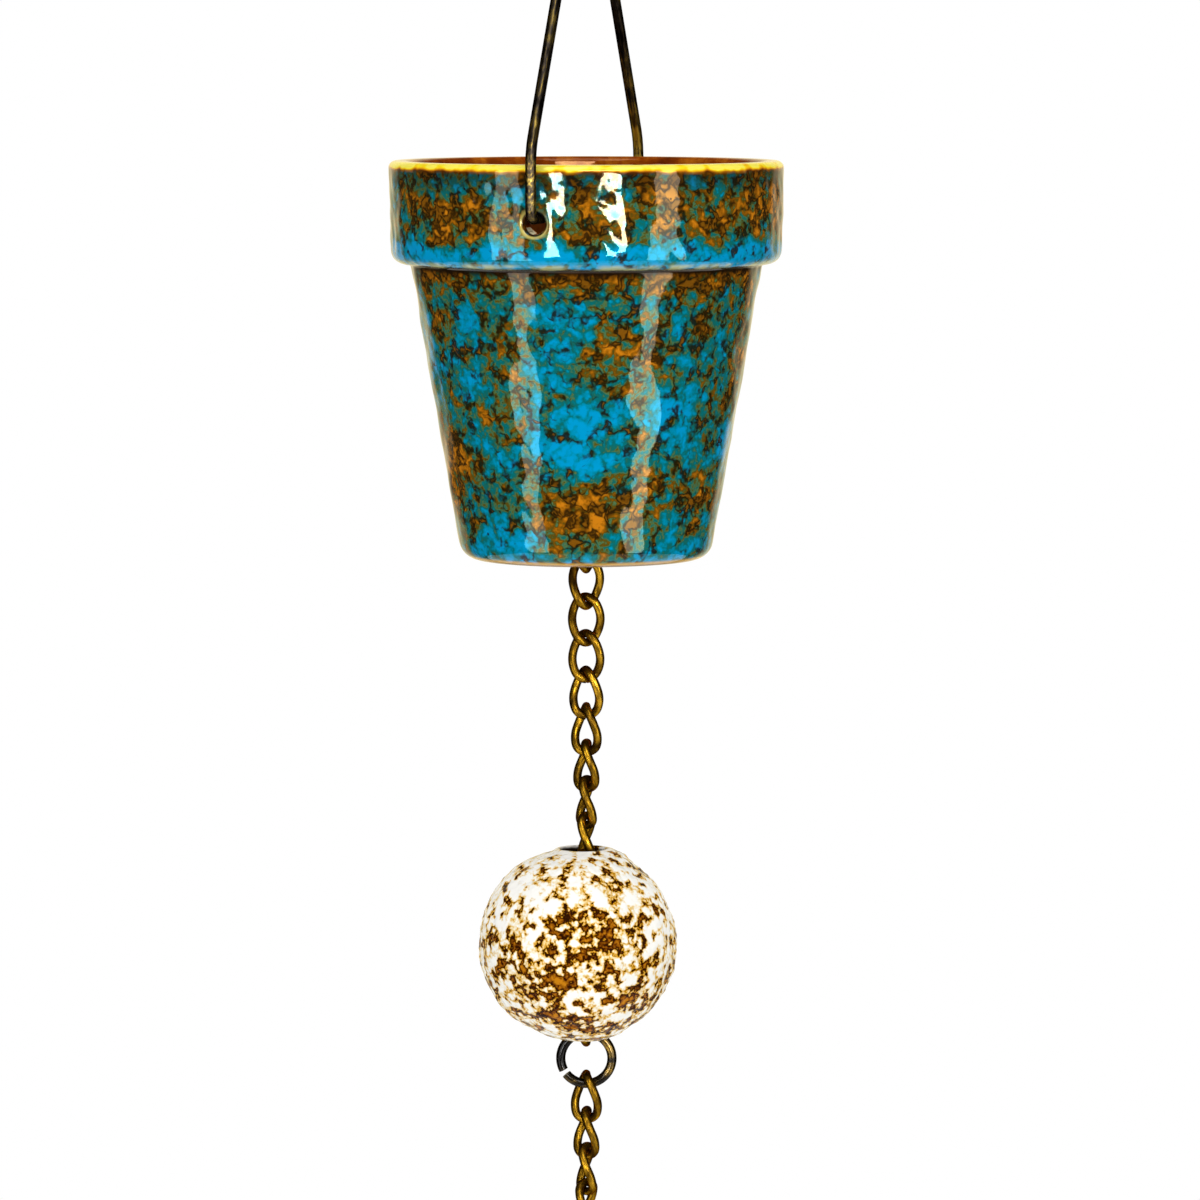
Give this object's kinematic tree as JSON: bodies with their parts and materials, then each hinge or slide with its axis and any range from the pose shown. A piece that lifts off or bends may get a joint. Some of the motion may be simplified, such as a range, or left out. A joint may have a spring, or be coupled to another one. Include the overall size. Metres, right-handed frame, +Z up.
{
  "type": "rain chain",
  "caption": "Rain chain section: a glazed flowerpot on a wire bail, a twisted-link chain through its drain hole and a glazed ball bead over a jump ring.",
  "frame": {"origin": "middle of the hanging ring, where a hook or the last link of the section above passes through", "axes": "+Z up, the chain hanging down the -Z axis; +Y along the bail's hole axis; +X square to the bail"},
  "size_m": [0.0998, 0.1078, 0.3751],
  "materials": {
    "pot_glaze": "glossy mottled blue and rust glaze",
    "bead_glaze": "glossy white glaze broken by brown veins",
    "chain_wire": "antique brass, dark in the hollows",
    "ring_wire": "darkened antique brass",
    "bail_wire": "blackened brass, worn bright in streaks"
  },
  "bodies": {
    "hang_ring": {"hang_ring": "ring_wire"},
    "bail": {"bail": "bail_wire"},
    "pot": {"pot": "pot_glaze", "anchor_ring": "ring_wire"},
    "upper_link_01": {"upper_link_01": "chain_wire"},
    "upper_link_02": {"upper_link_02": "chain_wire"},
    "upper_link_03": {"upper_link_03": "chain_wire"},
    "upper_link_04": {"upper_link_04": "chain_wire"},
    "upper_link_05": {"upper_link_05": "chain_wire"},
    "upper_link_06": {"upper_link_06": "chain_wire"},
    "upper_link_07": {"upper_link_07": "chain_wire"},
    "upper_link_08": {"upper_link_08": "chain_wire"},
    "bead": {"upper_link_09": "chain_wire", "upper_link_10": "chain_wire", "upper_link_11": "chain_wire", "upper_link_12": "chain_wire", "upper_link_13": "chain_wire", "upper_link_14": "chain_wire", "bead": "bead_glaze", "bead_ring": "ring_wire"},
    "lower_link_01": {"lower_link_01": "chain_wire"},
    "lower_link_02": {"lower_link_02": "chain_wire"},
    "lower_link_03": {"lower_link_03": "chain_wire"},
    "lower_link_04": {"lower_link_04": "chain_wire"},
    "lower_link_05": {"lower_link_05": "chain_wire"}
  },
  "joints": [
    {"name": "bail_swing", "type": "hinge", "parent": "hang_ring", "child": "bail", "pos_m": [0, 0, -0.00655], "axis": [1, 0, 0], "range_deg": [-60, 60]},
    {"name": "pot_swing", "type": "hinge", "parent": "bail", "child": "pot", "pos_m": [0, 0, -0.09699], "axis": [0, 1, 0], "range_deg": [-90, 90]},
    {"name": "upper_link_01_swing", "type": "hinge", "parent": "pot", "child": "upper_link_01", "pos_m": [0, 0, -0.17819], "axis": [0.1305, -0.9914, 0], "range_deg": [-12, 12]},
    {"name": "upper_link_02_swing", "type": "hinge", "parent": "upper_link_01", "child": "upper_link_02", "pos_m": [0, 0, -0.18744], "axis": [-0.1305, 0.9914, 0], "range_deg": [-60, 60]},
    {"name": "upper_link_03_swing", "type": "hinge", "parent": "upper_link_02", "child": "upper_link_03", "pos_m": [0, 0, -0.19444], "axis": [0.8949, -0.4462, 0], "range_deg": [-60, 60]},
    {"name": "upper_link_04_swing", "type": "hinge", "parent": "upper_link_03", "child": "upper_link_04", "pos_m": [0, 0, -0.20614], "axis": [-0.4462, -0.8949, 0], "range_deg": [-60, 60]},
    {"name": "upper_link_05_swing", "type": "hinge", "parent": "upper_link_04", "child": "upper_link_05", "pos_m": [0, 0, -0.21314], "axis": [-0.4924, 0.8704, 0], "range_deg": [-60, 60]},
    {"name": "upper_link_06_swing", "type": "hinge", "parent": "upper_link_05", "child": "upper_link_06", "pos_m": [0, 0, -0.22484], "axis": [0.8704, 0.4924, 0], "range_deg": [-60, 60]},
    {"name": "upper_link_07_swing", "type": "hinge", "parent": "upper_link_06", "child": "upper_link_07", "pos_m": [0, 0, -0.23184], "axis": [-0.0785, -0.9969, 0], "range_deg": [-60, 60]},
    {"name": "upper_link_08_swing", "type": "hinge", "parent": "upper_link_07", "child": "upper_link_08", "pos_m": [0, 0, -0.24354], "axis": [-0.9969, 0.0785, 0], "range_deg": [-60, 60]},
    {"name": "bead_swing", "type": "hinge", "parent": "upper_link_08", "child": "bead", "pos_m": [0, 0, -0.25054], "axis": [0.5075, 0.8616, 0], "range_deg": [-40, 40]},
    {"name": "lower_link_01_swing", "type": "hinge", "parent": "bead", "child": "lower_link_01", "pos_m": [0, 0, -0.31964], "axis": [0.9681, 0.2504, 0], "range_deg": [-60, 60]},
    {"name": "lower_link_02_swing", "type": "hinge", "parent": "lower_link_01", "child": "lower_link_02", "pos_m": [0, 0, -0.32654], "axis": [-0.0785, -0.9969, 0], "range_deg": [-60, 60]},
    {"name": "lower_link_03_swing", "type": "hinge", "parent": "lower_link_02", "child": "lower_link_03", "pos_m": [0, 0, -0.33824], "axis": [-0.9969, 0.0785, 0], "range_deg": [-60, 60]},
    {"name": "lower_link_04_swing", "type": "hinge", "parent": "lower_link_03", "child": "lower_link_04", "pos_m": [0, 0, -0.34524], "axis": [0.6756, 0.7373, 0], "range_deg": [-60, 60]},
    {"name": "lower_link_05_swing", "type": "hinge", "parent": "lower_link_04", "child": "lower_link_05", "pos_m": [0, 0, -0.35694], "axis": [0.7373, -0.6756, 0], "range_deg": [-60, 60]}
  ]
}
